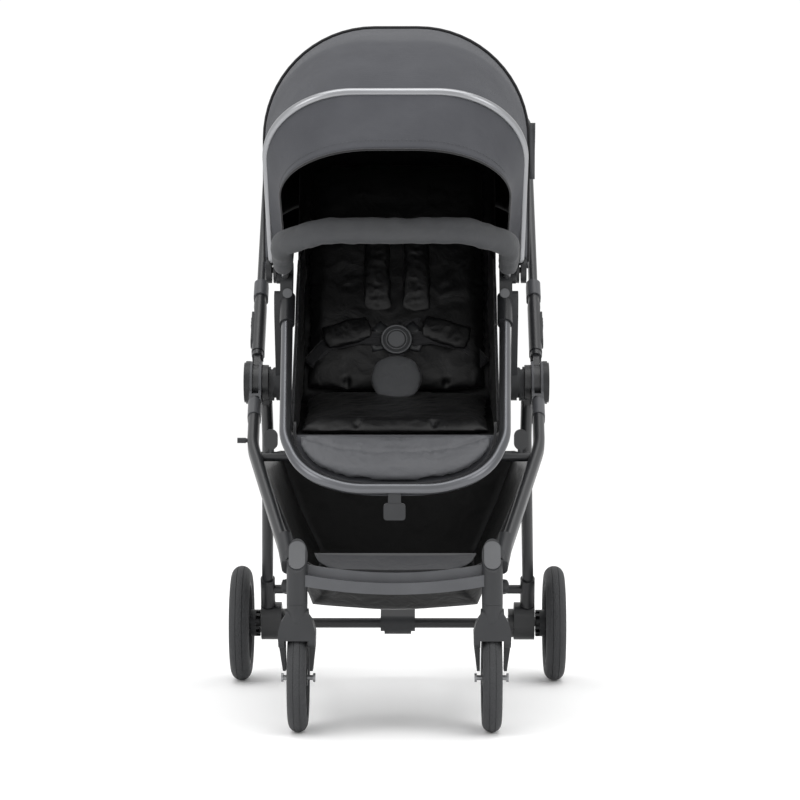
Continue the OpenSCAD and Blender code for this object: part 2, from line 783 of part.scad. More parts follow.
module shoulder_pads() {
    color(fabric_color) both() translate([33, 0, 0])
        along_plate(crease + back_u * 150 + back_n * 17, crease + back_u * 330 + back_n * 17, 56, 14, 1);
}
module harness_straps() {
    color(dark_color) both() {
        translate([33, 0, 0])
            along_plate(crease + back_u * 120 + back_n * 15, crease + back_u * 400 + back_n * 15, 25, 2, 1);
        translate([76, 0, 0])
            along_plate(crease + back_u * 84 + back_n * 15, crease + back_u * 118 + back_n * 15, 112, 3, 1);
    }
}
module buckle_body() {
    n = back_n;
    color(dark_color) difference() {
        along(pt(0, buckle_c - n * 16), pt(0, buckle_c)) cylinder(r = 26, h = 16);
        along(pt(0, buckle_c - n * 7), pt(0, buckle_c + n)) cylinder(r = 14.1, h = 12);
    }
}
module buckle_button() {
    n = back_n;
    color(metal_color) along(pt(0, buckle_c - n * 5), pt(0, buckle_c + n)) cylinder(r = 14, h = 6.5);
}
module apron_buckle() {
    q = foot_end;
    color(dark_color) difference() {
        union() {
            translate([0, q[0] - 1, q[1] - 36]) rotate([90, 0, 0]) translate([0, 0, -5]) linear_extrude(10)
                offset_square([34, 26], 5);
            translate([-10, q[0] - 5, q[1] - 26]) cube([20, 8, 20]);
        }
        rod_x(-30, 30, q, ring_d / 2);
    }
}

// Canopy: shells of revolution about the hinge line
module canopy_shell(r, half, a0, a1, t) {
    translate([0, pivot[0], pivot[1]]) mirror([0, 1, 0]) rotate([a0, 0, 0]) rotate([0, 90, 0]) rotate([0, 0, 90])
        rotate_extrude(angle = a1 - a0) difference() {
            shell_profile(r, half);
            shell_profile(r - t, half - t);
        }
}
module shell_profile(r, half) {
    c = canopy_corner;
    for (s = [-1, 1]) intersection() {
        translate([r - c, s * (half - c)]) circle(c);
        translate([r - c, s > 0 ? half - c : -half]) square([c, c]);
    }
    translate([0, -half]) square([r - c, 2 * half]);
    translate([0, -half + c]) square([r, 2 * half - 2 * c]);
}
module canopy_rear_shell() {
    color(fabric_color) canopy_shell(canopy_r, canopy_x, 88, 160, canopy_t);
}
module canopy_front_shell() {
    color(fabric_color) canopy_shell(canopy_r - 14, canopy_x - 12, 27, 100, canopy_t);
}
module canopy_bow() {
    u = [-cos(43.7), sin(43.7)];
    r = canopy_r - 16;
    h = canopy_x - 14;
    color(metal_color) bent_tube([
        pt(-h, pivot + u * 24), pt(-h, pivot + u * r), pt(h, pivot + u * r), pt(h, pivot + u * 24)
    ], 7, canopy_corner - 8);
}
module canopy_hinges() {
    color(dark_color) both() {
        rod_x(frame_x - 46, canopy_x - 15, pivot, 5);
        rod_x(frame_x - 37, canopy_x - 15, pivot, 22);
        rod_x(canopy_x - 12, canopy_x - 3, pivot, 22);
        rod_x(canopy_x - 15.1, canopy_x - 11.9, pivot, 5);
    }
}

front_legs();
front_posts();
post_caps();
front_crossmember();
hub_housings();
hub_covers();
hub_bolts();
seat_receivers();
accessory_peg();
basket();
basket_bar();
caster_fork_left();
caster_fork_right();
front_axle_left();
front_axle_right();
front_tyre_left();
front_tyre_right();
front_rim_left();
front_rim_right();
rear_legs();
rear_axle_tube();
axle_housings();
brake_pedal();
brake_pin_left();
brake_pin_right();
rear_tyre_left();
rear_tyre_right();
rear_rim_left();
rear_rim_right();
brake_cog_left();
brake_cog_right();
handle_lowers();
handle_collars();
handle_bar();
handle_grip();
fold_trigger_left();
fold_trigger_right();
side_rails_outer();
side_rails_inner();
seat_adapters();
seat_brackets();
seat_sockets();
seat_ring();
bumper_bar();
bumper_cover();
bumper_buttons();
seat_shell();
seat_pad();
foot_pad();
crotch_pad();
shoulder_pads();
harness_straps();
buckle_body();
buckle_button();
apron_buckle();
canopy_rear_shell();
canopy_front_shell();
canopy_bow();
canopy_hinges();
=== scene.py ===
import json
import math

import bmesh
import bpy
import numpy as np
from mathutils import Matrix, Vector, noise


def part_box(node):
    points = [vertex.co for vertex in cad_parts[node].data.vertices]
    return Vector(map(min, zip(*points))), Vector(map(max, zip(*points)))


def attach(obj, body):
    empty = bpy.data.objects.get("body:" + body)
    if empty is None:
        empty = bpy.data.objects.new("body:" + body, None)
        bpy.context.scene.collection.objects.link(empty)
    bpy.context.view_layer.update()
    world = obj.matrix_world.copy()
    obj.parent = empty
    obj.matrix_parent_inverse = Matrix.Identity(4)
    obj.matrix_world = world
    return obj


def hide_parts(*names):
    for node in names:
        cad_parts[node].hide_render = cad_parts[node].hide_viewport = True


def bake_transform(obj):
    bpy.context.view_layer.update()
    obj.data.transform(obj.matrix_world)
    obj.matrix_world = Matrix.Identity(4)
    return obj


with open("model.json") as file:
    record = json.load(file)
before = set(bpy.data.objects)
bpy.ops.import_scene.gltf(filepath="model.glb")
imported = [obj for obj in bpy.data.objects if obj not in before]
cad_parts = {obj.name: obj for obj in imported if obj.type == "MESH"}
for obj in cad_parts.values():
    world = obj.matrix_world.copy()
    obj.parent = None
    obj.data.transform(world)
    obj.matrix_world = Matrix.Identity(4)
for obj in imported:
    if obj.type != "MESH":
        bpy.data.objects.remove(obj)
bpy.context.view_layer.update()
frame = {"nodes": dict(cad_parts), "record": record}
nodes = frame["nodes"]
joints = {j["name"]: j for j in frame["record"]["behaviour"]["joints"]}
hub = Vector(joints["seat_tilt"]["pos_m"])
pivot = Vector(joints["canopy_fold"]["pos_m"])
mm = 0.001
print("frame loaded:", len(nodes), "CAD nodes")


def hexColor(code):
    # sRGB hex to linear RGBA
    parts = [int(code[i : i + 2], 16) / 255 for i in (1, 3, 5)]
    return [p / 12.92 if p < 0.04045 else ((p + 0.055) / 1.055) ** 2.4 for p in parts] + [1]


def addNode(tree, kind, settings=None, **links):
    node = tree.nodes.new(kind)
    for key, value in (settings or {}).items():
        if key in node.inputs:
            node.inputs[key].default_value = value
        else:
            setattr(node, key, value)
    for key, source in links.items():
        tree.links.new(source, node.inputs[key.replace("_", " ")])
    return node


def startMaterial(name, shader):
    mat = bpy.data.materials.new(name)
    mat.use_nodes = True
    tree = mat.node_tree
    bsdf = tree.nodes["Principled BSDF"]
    for key, value in shader.items():
        bsdf.inputs[key].default_value = value
    coords = addNode(tree, "ShaderNodeTexCoord").outputs["Object"]
    return mat, tree, bsdf, coords


def mixColors(tree, factor, dark, light):
    ramp = addNode(tree, "ShaderNodeValToRGB", Fac=factor)
    ramp.color_ramp.elements[0].color = hexColor(dark)
    ramp.color_ramp.elements[1].color = hexColor(light)
    return ramp.outputs["Color"]


def grainedPlastic(name, dark, light, rough, grain=0.8 * mm, bump=0.12):
    # ABS has an index of about 1.5; the pebbles are spark-eroded mould grain
    mat, tree, bsdf, coords = startMaterial(name, {"Roughness": rough, "IOR": 1.5, "Specular IOR Level": 0.4})
    pebble = addNode(tree, "ShaderNodeTexVoronoi", {"Scale": 1 / grain}, Vector=coords)
    cloud = addNode(tree, "ShaderNodeTexNoise", {"Scale": 28.0, "Detail": 3.0}, Vector=coords)
    tree.links.new(mixColors(tree, cloud.outputs["Fac"], dark, light), bsdf.inputs["Base Color"])
    relief = addNode(
        tree, "ShaderNodeBump", {"Strength": bump, "Distance": 0.1 * mm}, Height=pebble.outputs["Distance"]
    )
    tree.links.new(relief.outputs["Normal"], bsdf.inputs["Normal"])
    return mat


def powderCoat(name, dark, light):
    # polyester powder baked on steel: satin, with a fine orange peel
    mat, tree, bsdf, coords = startMaterial(
        name, {"Roughness": 0.42, "IOR": 1.5, "Coat Weight": 0.15, "Coat Roughness": 0.3}
    )
    peel = addNode(tree, "ShaderNodeTexNoise", {"Scale": 1 / (1.2 * mm), "Detail": 2.0}, Vector=coords)
    cloud = addNode(tree, "ShaderNodeTexNoise", {"Scale": 12.0, "Detail": 4.0}, Vector=coords)
    tree.links.new(mixColors(tree, cloud.outputs["Fac"], dark, light), bsdf.inputs["Base Color"])
    relief = addNode(
        tree, "ShaderNodeBump", {"Strength": 0.15, "Distance": 0.12 * mm}, Height=peel.outputs["Fac"]
    )
    tree.links.new(relief.outputs["Normal"], bsdf.inputs["Normal"])
    return mat


def anodised(name, dark, light, rough):
    # gunmetal anodised aluminium tube: its tone varies at random, and its paler patches are painted reflection for the
    # bright streaks along it; faint drawing lines
    mat, tree, bsdf, coords = startMaterial(name, {"Metallic": 0.9, "Roughness": rough})
    cloud = addNode(tree, "ShaderNodeTexNoise", {"Scale": 9.0, "Detail": 5.0}, Vector=coords)
    tree.links.new(mixColors(tree, cloud.outputs["Fac"], dark, light), bsdf.inputs["Base Color"])
    lines = addNode(tree, "ShaderNodeTexNoise", {"Scale": 1 / (0.9 * mm), "Detail": 1.0}, Vector=coords)
    relief = addNode(
        tree, "ShaderNodeBump", {"Strength": 0.05, "Distance": 0.05 * mm}, Height=lines.outputs["Fac"]
    )
    tree.links.new(relief.outputs["Normal"], bsdf.inputs["Normal"])
    return mat


def wovenCloth(name, dark, light, thread, rough, sheen, bump, wrinkle=0.3, wrinkleScale=22.0, coat=0.0):
    # plain weave: two sets of threads at right angles, over soft creases
    shader = {
        "Roughness": rough, "Sheen Weight": sheen, "Sheen Roughness": 0.45, "IOR": 1.45, "Specular IOR Level": 0.3,
    }
    shader.update({"Coat Weight": coat, "Coat Roughness": 0.38})
    mat, tree, bsdf, coords = startMaterial(name, shader)
    waves = [
        addNode(tree, "ShaderNodeTexWave", {"Scale": 1 / (thread * 3.14), "bands_direction": d}, Vector=coords)
        for d in ("X", "Z", "Y")
    ]
    pair = addNode(tree, "ShaderNodeMath", {"operation": "ADD"})
    tree.links.new(waves[0].outputs["Fac"], pair.inputs[0])
    tree.links.new(waves[1].outputs["Fac"], pair.inputs[1])
    weave = addNode(tree, "ShaderNodeMath", {"operation": "ADD"})
    tree.links.new(pair.outputs[0], weave.inputs[0])
    tree.links.new(waves[2].outputs["Fac"], weave.inputs[1])
    cloud = addNode(tree, "ShaderNodeTexNoise", {"Scale": 14.0, "Detail": 6.0, "Roughness": 0.6}, Vector=coords)
    tree.links.new(mixColors(tree, cloud.outputs["Fac"], dark, light), bsdf.inputs["Base Color"])
    crease = addNode(
        tree, "ShaderNodeTexNoise", {"Scale": wrinkleScale, "Detail": 4.0, "Distortion": 0.6}, Vector=coords
    )
    folds = addNode(
        tree, "ShaderNodeBump", {"Strength": wrinkle, "Distance": 6 * mm}, Height=crease.outputs["Fac"]
    )
    relief = addNode(
        tree, "ShaderNodeBump", {"Strength": bump, "Distance": 0.3 * mm}, Height=weave.outputs[0],
        Normal=folds.outputs["Normal"],
    )
    tree.links.new(relief.outputs["Normal"], bsdf.inputs["Normal"])
    return mat


def tyreRubber(name, dark, light):
    # foam-filled rubber: fine diamond ribs on the shoulders, chalky matte surface
    mat, tree, bsdf, coords = startMaterial(name, {"Roughness": 0.72, "IOR": 1.52})
    cloud = addNode(tree, "ShaderNodeTexNoise", {"Scale": 35.0, "Detail": 5.0}, Vector=coords)
    tree.links.new(mixColors(tree, cloud.outputs["Fac"], dark, light), bsdf.inputs["Base Color"])
    ribs = addNode(tree, "ShaderNodeTexVoronoi", {"Scale": 1 / (2.6 * mm)}, Vector=coords)
    relief = addNode(
        tree, "ShaderNodeBump", {"Strength": 0.9, "Distance": 0.8 * mm}, Height=ribs.outputs["Distance"]
    )
    tree.links.new(relief.outputs["Normal"], bsdf.inputs["Normal"])
    return mat


finishes = {
    "frame_paint": powderCoat("polyester powder coat", "#1f2022", "#292a2c"),
    "dark_plastic": grainedPlastic("moulded ABS", "#222325", "#2d2e30", 0.5),
    "black_plastic": grainedPlastic("black nylon", "#17181a", "#202123", 0.42),
    "grey_plastic": grainedPlastic("grey ABS", "#4a4b4d", "#565759", 0.4),
    "steel": anodised("satin steel", "#8a8b8d", "#9c9d9f", 0.32),
    "rim_plastic": grainedPlastic("glass-filled nylon", "#191a1c", "#232426", 0.5),
    "tyre": tyreRubber("foam-filled tyre rubber", "#232426", "#303133"),
    "ring_metal": anodised("gunmetal anodised aluminium", "#56575a", "#68696c", 0.3),
    "grip": grainedPlastic("foam grip", "#1b1c1d", "#252628", 0.85, 1.4 * mm, 0.5),
    "canopy_fabric": wovenCloth("woven polyester", "#36373b", "#47484c", 1.1 * mm, 0.82, 0.06, 0.35, 0.22),
    "liner_fabric": wovenCloth("satin nylon", "#060607", "#0b0b0c", 0.9 * mm, 0.4, 0.02, 0.2, 0.6, 26.0, 0.12),
    "webbing": wovenCloth("nylon webbing", "#141416", "#1e1e21", 1.6 * mm, 0.55, 0.2, 0.7, 0.05),
}
liningBlack = wovenCloth("canopy lining", "#040404", "#080808", 1.0 * mm, 0.85, 0.0, 0.2, 0.1)
# lighter than the canopy fabric: painted top light on the upturned foot panel
paintedTopLightCloth = wovenCloth("quilted polyester with painted top light", "#46474a", "#535457", 1.0 * mm, 0.5, 0.06, 0.3, 0.4, 30.0, 0.12)
padGrey = wovenCloth("brushed polyester", "#3b3c3f", "#474849", 1.0 * mm, 0.75, 0.06, 0.3, 0.4, 30.0)
pipingBlack = wovenCloth("bias tape", "#151517", "#1c1c1f", 1.0 * mm, 0.6, 0.2, 0.4, 0.02)
threadGrey = grainedPlastic("sewing thread", "#3a3b3e", "#4a4b4e", 0.6)
labelCloth = wovenCloth("woven label", "#3a3b3d", "#444547", 0.6 * mm, 0.7, 0.2, 0.4, 0.02)

# a darker copy of the frame powder coat: painted shade on the rear legs, the rear axle tube and the axle housings
shadedRearPaint = powderCoat("powder coat with painted shade", "#121315", "#1a1b1d")
hubPlastic = grainedPlastic("hub ABS", "#434447", "#4f5053", 0.45)
bowMetal = anodised("polished aluminium bow", "#8a8b8e", "#9c9d9f", 0.3)
ownFinish = {
    "canopy_bow": bowMetal,
    "rear_legs": shadedRearPaint,
    "rear_axle_tube": shadedRearPaint,
    "axle_housings": shadedRearPaint,
    "hub_housings": hubPlastic,
    "handle_collars": hubPlastic,
    "front_crossmember": hubPlastic,
}

slotOf = {s["node"]: s["material_slot"] for s in frame["record"]["subparts"]}
for nodeName, obj in nodes.items():
    obj.data.materials.clear()
    obj.data.materials.append(ownFinish.get(nodeName, finishes[slotOf[nodeName]]))
print("materials made:", len(finishes) + len(ownFinish))


def side(y, z):
    return Vector((0, y * mm, z * mm))


def across(x):
    return Vector((x * mm, 0, 0))


def quadNormal(v):
    # v turned a quarter towards the front and up, in the side view
    return Vector((0, -v.z, v.y))


def newPiece(name, verts, faces, mats, body, weld=False):
    mesh = bpy.data.meshes.new(name)
    mesh.from_pydata([tuple(v) for v in verts], [], faces)
    for m in mats if isinstance(mats, (list, tuple)) else [mats]:
        mesh.materials.append(m)
    if weld:
        bm = bmesh.new()
        bm.from_mesh(mesh)
        bmesh.ops.remove_doubles(bm, verts=bm.verts, dist=0.05 * mm)
        bmesh.ops.dissolve_degenerate(bm, edges=bm.edges, dist=0.02 * mm)
        bm.to_mesh(mesh)
        bm.free()
    mesh.polygons.foreach_set("use_smooth", [True] * len(mesh.polygons))
    mesh.update()
    obj = bpy.data.objects.new(name, mesh)
    bpy.context.scene.collection.objects.link(obj)
    if body:
        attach(obj, body)
    return obj


def gridFaces(rows, cols, wrapCols=False, wrapRows=False):
    faces = []
    for r in range(rows if wrapRows else rows - 1):
        for c in range(cols if wrapCols else cols - 1):
            a, b = r * cols + c, r * cols + (c + 1) % cols
            d, e = ((r + 1) % rows) * cols + c, ((r + 1) % rows) * cols + (c + 1) % cols
            faces.append((a, b, e, d))
    return faces


def sheetPiece(name, grid, thick, outer, lining, body, wrap=False, flip=False, weld=False):
    # A cloth sheet from rows of points, given its thickness by Solidify; lining is its second side
    faces = gridFaces(len(grid), len(grid[0]), wrapCols=wrap)
    if flip:
        faces = [tuple(reversed(f)) for f in faces]
    obj = newPiece(name, [p for row in grid for p in row], faces, [outer, lining], body, weld)
    solid = obj.modifiers.new("thickness", "SOLIDIFY")
    solid.thickness = thick
    solid.offset = -1
    solid.material_offset = 1
    solid.material_offset_rim = 0
    return obj


def tubePiece(name, path, radius, mat, body, sides=10, closed=False):
    # A round cord or piping along a line of points
    verts, n = [], len(path)
    normal = None
    for i, p in enumerate(path):
        ahead = path[(i + 1) % n] if closed or i < n - 1 else p
        back = path[i - 1] if closed or i > 0 else p
        t = (ahead - back).normalized()
        normal = (t.orthogonal() if normal is None else normal - t * normal.dot(t)).normalized()
        turn = t.cross(normal)
        for k in range(sides):
            a = 2 * math.pi * k / sides
            verts.append(p + normal * math.cos(a) * radius + turn * math.sin(a) * radius)
    faces = [tuple(reversed(f)) for f in gridFaces(n, sides, wrapCols=True, wrapRows=closed)]
    if not closed:
        faces += [tuple(range(sides)), tuple((n - 1) * sides + k for k in range(sides))[::-1]]
    return newPiece(name, verts, faces, mat, body)


def roundedPath(points, bend, step):
    # Straight runs joined by arcs of radius bend, as a list of points about step apart
    out = [points[0]]
    for i in range(1, len(points) - 1):
        a, b = (points[i - 1] - points[i]).normalized(), (points[i + 1] - points[i]).normalized()
        half = math.acos(max(-1, min(1, a.dot(b)))) / 2
        cut = min(
            bend / math.tan(half),
            (points[i - 1] - points[i]).length * 0.49,
            (points[i + 1] - points[i]).length * 0.49,
        )
        start, end = points[i] + a * cut, points[i] + b * cut
        for k in range(13):
            t = k / 12
            out.append(start.lerp(points[i], t).lerp(points[i].lerp(end, t), t))
    out.append(points[-1])
    even, left = [out[0]], step
    for p, q in zip(out, out[1:]):
        run = (q - p).length
        while left <= run and run > 1e-9:
            even.append(p.lerp(q, left / run))
            left += step
        left -= run
    if (even[-1] - out[-1]).length > step * 0.3:
        even.append(out[-1])
    return even


def ribbonPiece(name, path, wide, width, thick, mat, body):
    # A flat strap along a path; wide is the direction of its width
    verts, cols = [], 8
    for i, p in enumerate(path):
        t = (path[min(i + 1, len(path) - 1)] - path[max(i - 1, 0)]).normalized()
        w = (wide - t * wide.dot(t)).normalized()
        up = t.cross(w)
        for k in range(cols):
            a = 2 * math.pi * (k + 0.5) / cols
            verts.append(p + w * max(-1, min(1, 1.25 * math.cos(a))) * width / 2 + up * math.sin(a) * thick / 2)
    faces = gridFaces(len(path), cols, wrapCols=True)
    faces += [tuple(range(cols))[::-1], tuple((len(path) - 1) * cols + k for k in range(cols))]
    return newPiece(name, verts, faces, mat, body)


def wander(p, scale, seed=0.0):
    return noise.noise(Vector((p[0] * scale + seed, p[1] * scale + seed * 0.7, p[2] * scale - seed)))


def padPiece(name, pad, origin, along, out, mat, body):
    # A crowned closed pad lying on a plane: x across, along up the plane, out away from it
    rows, cols = pad.get("rows", 41), pad.get("cols", 33)
    a, b = pad["width"] / 2 * mm, pad["length"] / 2 * mm
    top, bottom, roundness = pad["crown"] * mm, pad["base"] * mm, pad.get("round", 0.35)
    layers = []
    for height in (top, -bottom):
        layer = []
        for r in range(rows):
            for c in range(cols):
                s, t = 2 * c / (cols - 1) - 1, 2 * r / (rows - 1) - 1
                x = a * s * math.sqrt(1 - roundness * t * t / 2) * (1 - pad.get("pull", 0.03) * (1 - t * t))
                y = b * t * math.sqrt(1 - roundness * s * s / 2) * (1 - pad.get("pull", 0.03) * (1 - s * s) * 0.6)
                x *= 1 + pad.get("taper", 0) * t
                edge = (1 - abs(s) ** pad.get("power", 5)) ** 0.5 * (1 - abs(t) ** pad.get("power", 5)) ** 0.5
                layer.append(origin + Vector((x, 0, 0)) + along * y + out * (height * edge + bottom))
        layers.append(layer)
    count = rows * cols
    faces = gridFaces(rows, cols)
    faces += [tuple(i + count for i in reversed(f)) for f in faces]
    obj = newPiece(name, layers[0] + layers[1], faces, mat, None, weld=True)
    bm = bmesh.new()
    bm.from_mesh(obj.data)
    bmesh.ops.recalc_face_normals(bm, faces=bm.faces)
    bm.to_mesh(obj.data)
    bm.free()
    if pad.get("puff"):
        puffUp(obj, pad)
    ripple(obj, pad.get("ripple", 1.2) * mm, pad.get("seed", 1.0), pad.get("rippleSize", 26))
    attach(obj, body)
    return obj


def puffUp(obj, pad):
    # Cloth simulation with inside pressure, held within a few millimetres of the starting shape
    remesh = obj.modifiers.new("remesh", "REMESH")
    remesh.mode = "VOXEL"
    remesh.voxel_size = pad.get("voxel", 5) * mm
    bakeModifiers(obj)
    before = [v.co.copy() for v in obj.data.vertices]
    cloth = obj.modifiers.new("cloth", "CLOTH")
    cloth.settings.quality = 5
    cloth.settings.mass = 0.15
    cloth.settings.tension_stiffness = 25
    cloth.settings.compression_stiffness = 25
    cloth.settings.shear_stiffness = 15
    cloth.settings.bending_stiffness = 0.4
    cloth.settings.use_pressure = True
    cloth.settings.uniform_pressure_force = pad["puff"]
    cloth.settings.effector_weights.gravity = 0
    cloth.collision_settings.use_collision = False
    for f in range(1, 19):
        bpy.context.scene.frame_set(f)
    bakeModifiers(obj)
    bpy.context.scene.frame_set(1)
    cap = pad.get("cap", 5) * mm
    for v, p in zip(obj.data.vertices, before):
        move = v.co - p
        if move.length > cap:
            v.co = p + move * (cap / move.length)
    smooth = obj.modifiers.new("soften", "SUBSURF")
    smooth.levels = smooth.render_levels = 1
    bakeModifiers(obj)


def bakeModifiers(obj):
    # Replaces the mesh by what its modifiers make of it
    bpy.context.view_layer.update()
    made = bpy.data.meshes.new_from_object(obj.evaluated_get(bpy.context.evaluated_depsgraph_get()))
    mats = list(obj.data.materials)
    obj.modifiers.clear()
    obj.data = made
    made.materials.clear()
    for m in mats:
        made.materials.append(m)
    made.polygons.foreach_set("use_smooth", [True] * len(made.polygons))


def ripple(obj, depth, seed, size):
    # Soft creases and small puckers of cloth over foam
    obj.data.update()
    before = [(v.co.copy(), v.normal.copy()) for v in obj.data.vertices]
    moved = []
    for co, n in before:
        low = wander(co, size, seed)
        fine = abs(wander(co, size * 2.3, seed + 9))
        moved.extend(co + n * (low * depth - fine * depth * 0.5))
    obj.data.vertices.foreach_set("co", moved)
    obj.data.update()


def sew(obj, path, width, depth, pucker=0.0, pitch=9.0):
    # Presses a sewn channel into a piece along a path, with small puckers beside it; sizes in mm
    obj.data.update()
    count = len(obj.data.vertices)
    co, no = np.empty(count * 3), np.empty(count * 3)
    obj.data.vertices.foreach_get("co", co)
    obj.data.vertices.foreach_get("normal", no)
    co, no = co.reshape(-1, 3), no.reshape(-1, 3)
    best, run, total = np.full(count, 1e9), np.zeros(count), 0.0
    for p, q in zip(path, path[1:]):
        d = np.array(q - p)
        length = max(float(np.linalg.norm(d)), 1e-9)
        t = np.clip(((co - np.array(p)) @ d) / length**2, 0, 1)
        far = np.linalg.norm(co - (np.array(p) + t[:, None] * d), axis=1)
        near = far < best
        best, run = np.where(near, far, best), np.where(near, total + t * length, run)
        total += length
    w = width * mm
    push = depth * mm * np.exp(-((best / w) ** 2))
    wave = np.sin(
        run / (pitch * mm) * 6.283 + 2.6 * np.sin(run * 61.0) + 1.7 * np.sin(run * 23.0)
    ) * np.exp(-((best / (w * 2.6)) ** 2))
    co -= no * (push + pucker * mm * wave * (best / w).clip(0, 1))[:, None]
    obj.data.vertices.foreach_set("co", co.ravel())
    obj.data.update()


def stitchRow(name, path, body, out, stitch=4.2, gap=2.4, thick=0.9):
    # A row of raised thread stitches lying on a seam; out is the way they stand proud
    verts, faces = [], []
    line = roundedPath(path, 5 * mm, (stitch + gap) * mm)
    for p, q in zip(line, line[1:]):
        t = (q - p).normalized()
        w = t.cross(out).normalized()
        end = p + t * stitch * mm
        base = len(verts)
        for at, size in ((p, 0.35), (p.lerp(end, 0.25), 1), (p.lerp(end, 0.75), 1), (end, 0.35)):
            for k in range(5):
                a = 2 * math.pi * k / 5
                verts.append(at + (w * math.cos(a) + out * math.sin(a)) * size * thick / 2 * mm)
        faces += [tuple(base + i for i in reversed(f)) for f in gridFaces(4, 5, wrapCols=True)]
        faces += [tuple(base + k for k in range(5)), tuple(base + 19 - k for k in range(5))]
    return newPiece(name, verts, faces, threadGrey, body)


layout = {
    "crease": (-17, -30),  # from the hub axle, in the side view
    "backTop": (163, 455),
    "socket": (-67, 145),
    "ringSlope": 43,
    "ringLength": 439,
    "ringHalf": 174,
    "innerHalf": 170,
    "footRound": 151,
}
hubSide = Vector((0, hub.y, hub.z))
pivotSide = Vector((0, pivot.y, pivot.z))
crease = hubSide + side(*layout["crease"])
backTop = hubSide + side(*layout["backTop"])
socket = hubSide + side(*layout["socket"])
slope = math.radians(layout["ringSlope"])
ringAlong = Vector((0, -math.cos(slope), -math.sin(slope)))
ringOut = Vector((0, ringAlong.z, -ringAlong.y))
seatEdge = socket + ringAlong * 0.667 * layout["ringLength"] * mm + side(8, -26)
backUp = (backTop - crease).normalized()
backOut = quadNormal(backUp)
panAlong = (seatEdge - crease).normalized()
panOut = Vector((0, panAlong.z, -panAlong.y))
buckleAt = crease + backUp * 98 * mm + backOut * 34 * mm

canopy = {
    "radius": 404,
    "corner": 185,
    "bowCorner": 150,
    "nest": (6, 12),  # the front shell sits this far inside the rear one, in radius and at each side
    "rear": (88, 160),  # degrees up and over from straight ahead
    "front": (27, 88.6),
    "bow": 43.7,
    "curl": 24,  # how far the visor's hem draws in at each side
    "thick": 1.6,
    "piping": 2.6,
    "hem": 12,  # clear of the hinge at each end
}
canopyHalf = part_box("canopy_rear_shell")[1][0] / mm


def bowPath(radius, half, corner, angle, start):
    # Points over a bow, from one hinge over the top to the other; angle in degrees, sizes in mm
    top = radius - corner
    run = [(-half, start + (top - start) * k / 10) for k in range(11)]
    for k in range(1, 17):
        a = math.pi - math.pi / 2 * k / 16
        run.append((-half + corner + corner * math.cos(a), top + corner * math.sin(a)))
    run += [(-half + corner + (half - corner) * k / 5, radius) for k in range(1, 6)]
    run += [(-x, r) for x, r in reversed(run[:-1])]
    a = math.radians(angle)
    return [pivotSide + across(x) + side(-r * math.cos(a), r * math.sin(a)) for x, r in run]


def canopyGrid(shape, angles, bows, sag, seed):
    # Rows over the bows; shape gives the radius and half width at an angle
    grid = []
    for a in angles:
        below = max([b for b in bows if b <= a + 1e-6] or [bows[0]])
        above = min([b for b in bows if b >= a - 1e-6] or [bows[-1]])
        share = (a - below) / (above - below) if above > below else 0
        dip = math.sin(math.pi * share)
        row = []
        radius, half, corner = shape(a)
        for p in bowPath(radius, half, corner, a, canopy["hem"]):
            reach = (p - Vector((p.x, pivot.y, pivot.z))).length
            edge = min(1, max(0, (reach - 0.06) / 0.16))
            inward = (p - pivotSide).normalized()
            soft = wander(p, 8, seed) * 2.2 + wander(p, 27, seed + 3) * 0.7
            row.append(p - inward * (sag * dip - soft * dip) * edge * mm)
        grid.append(row)
    return grid


def ease(x):
    x = min(1, max(0, x))
    return x * x * (3 - 2 * x)


def rearShape(a):
    return canopy["radius"], canopyHalf, canopy["corner"]


def frontShape(a):
    # Flush with the ridge seam at the back, on the bow in the middle, drawn in at the visor's hem
    rise = ease((a - canopy["bow"]) / (canopy["rear"][0] - canopy["bow"]))
    curl = ease((canopy["bow"] - a) / (canopy["bow"] - canopy["front"][0]))
    radius = canopy["radius"] - canopy["nest"][0] * (1 - rise) - rise
    half = canopyHalf - canopy["nest"][1] * (1 - rise) - rise - canopy["curl"] * curl
    return radius, half, canopy["bowCorner"] + (canopy["corner"] - canopy["bowCorner"]) * rise


def spread(pair, count):
    return [pair[0] + (pair[1] - pair[0]) * k / count for k in range(count + 1)]


rearStart, rearEnd = canopy["rear"]
visorEdge = canopy["front"][0]
frontRadius, frontHalf, frontCorner = frontShape(visorEdge)
canopyRear = sheetPiece(
    "canopyRear",
    canopyGrid(rearShape, spread(canopy["rear"], 40), [rearStart, 124, rearEnd], 7, 2.0),
    canopy["thick"] * mm, finishes["canopy_fabric"], liningBlack, "canopy",
)
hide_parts("canopy_rear_shell")
canopyFront = sheetPiece(
    "canopyFront",
    canopyGrid(frontShape, spread(canopy["front"], 48), [visorEdge, canopy["bow"], 66, canopy["front"][1]], 5, 5.0),
    canopy["thick"] * mm, finishes["canopy_fabric"], liningBlack, "canopy",
)
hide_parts("canopy_front_shell")
for label, radius, half, corner, angle, size in (
    ("canopyRidgePiping", canopy["radius"] + 0.5, canopyHalf + 0.3, canopy["corner"], rearStart, 1.0),
    ("canopyRearPiping", canopy["radius"] - 0.5, canopyHalf - 0.5, canopy["corner"], rearEnd, 0.8),
    ("canopyVisorPiping", frontRadius - 0.8, frontHalf - 0.8, frontCorner, visorEdge, 0.7),
):
    tubePiece(
        label, bowPath(radius, half, corner, angle, canopy["hem"] + 2), canopy["piping"] * size * mm, pipingBlack,
        "canopy",
    )
for label, radius, half, corner, angle in (
    ("canopyRidgeStitch", canopy["radius"] + 0.2, canopyHalf + 0.2, canopy["corner"], rearStart + 1.6),
    ("canopyRearStitch", canopy["radius"] - 0.4, canopyHalf - 0.4, canopy["corner"], rearEnd - 2.2),
    ("canopyVisorStitch", frontRadius + 0.1, frontHalf + 0.1, frontCorner, visorEdge + 2.4),
):
    stitchRow(label, bowPath(radius, half, corner, angle, 60), "canopy", Vector((0, 0.2, 1)).normalized())


